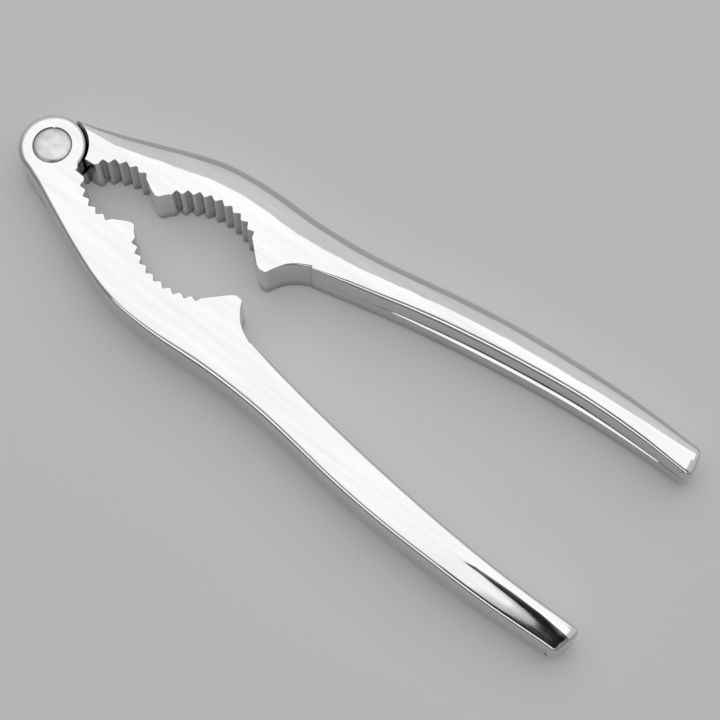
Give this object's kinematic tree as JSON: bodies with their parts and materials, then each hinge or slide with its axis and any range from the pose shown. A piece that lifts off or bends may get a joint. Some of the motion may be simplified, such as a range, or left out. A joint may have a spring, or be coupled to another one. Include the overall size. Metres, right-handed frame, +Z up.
{
  "type": "nutcracker",
  "caption": "Chrome-plated two-lever nutcracker: cast levers joined by a rivet at one end, toothed small and large nut hollows, long bowed handles.",
  "frame": {"origin": "on the pivot axis, at the underside of the rivet, level with the surface that the tool lies on", "axes": "+X runs midway between the handles, from the pivot to their ends; +Y points to the lever whose eye is the lower one; +Z is up, along the pivot axis"},
  "size_m": [0.1705, 0.0584, 0.0122],
  "materials": {
    "chrome_plating": "bright polished chrome plating on a zinc die casting",
    "rivet_steel": "plated steel rivet, dulled on its head by the riveting tool"
  },
  "bodies": {
    "right_lever": {"lever_upper_eye": "chrome_plating", "pivot_rivet": "rivet_steel"},
    "left_lever": {"lever_lower_eye": "chrome_plating"}
  },
  "joints": [
    {"name": "pivot", "type": "hinge", "parent": "right_lever", "child": "left_lever", "pos_m": [0, 0, 0.006], "axis": [0, 0, 1], "range_deg": [-7.8, 172]}
  ]
}
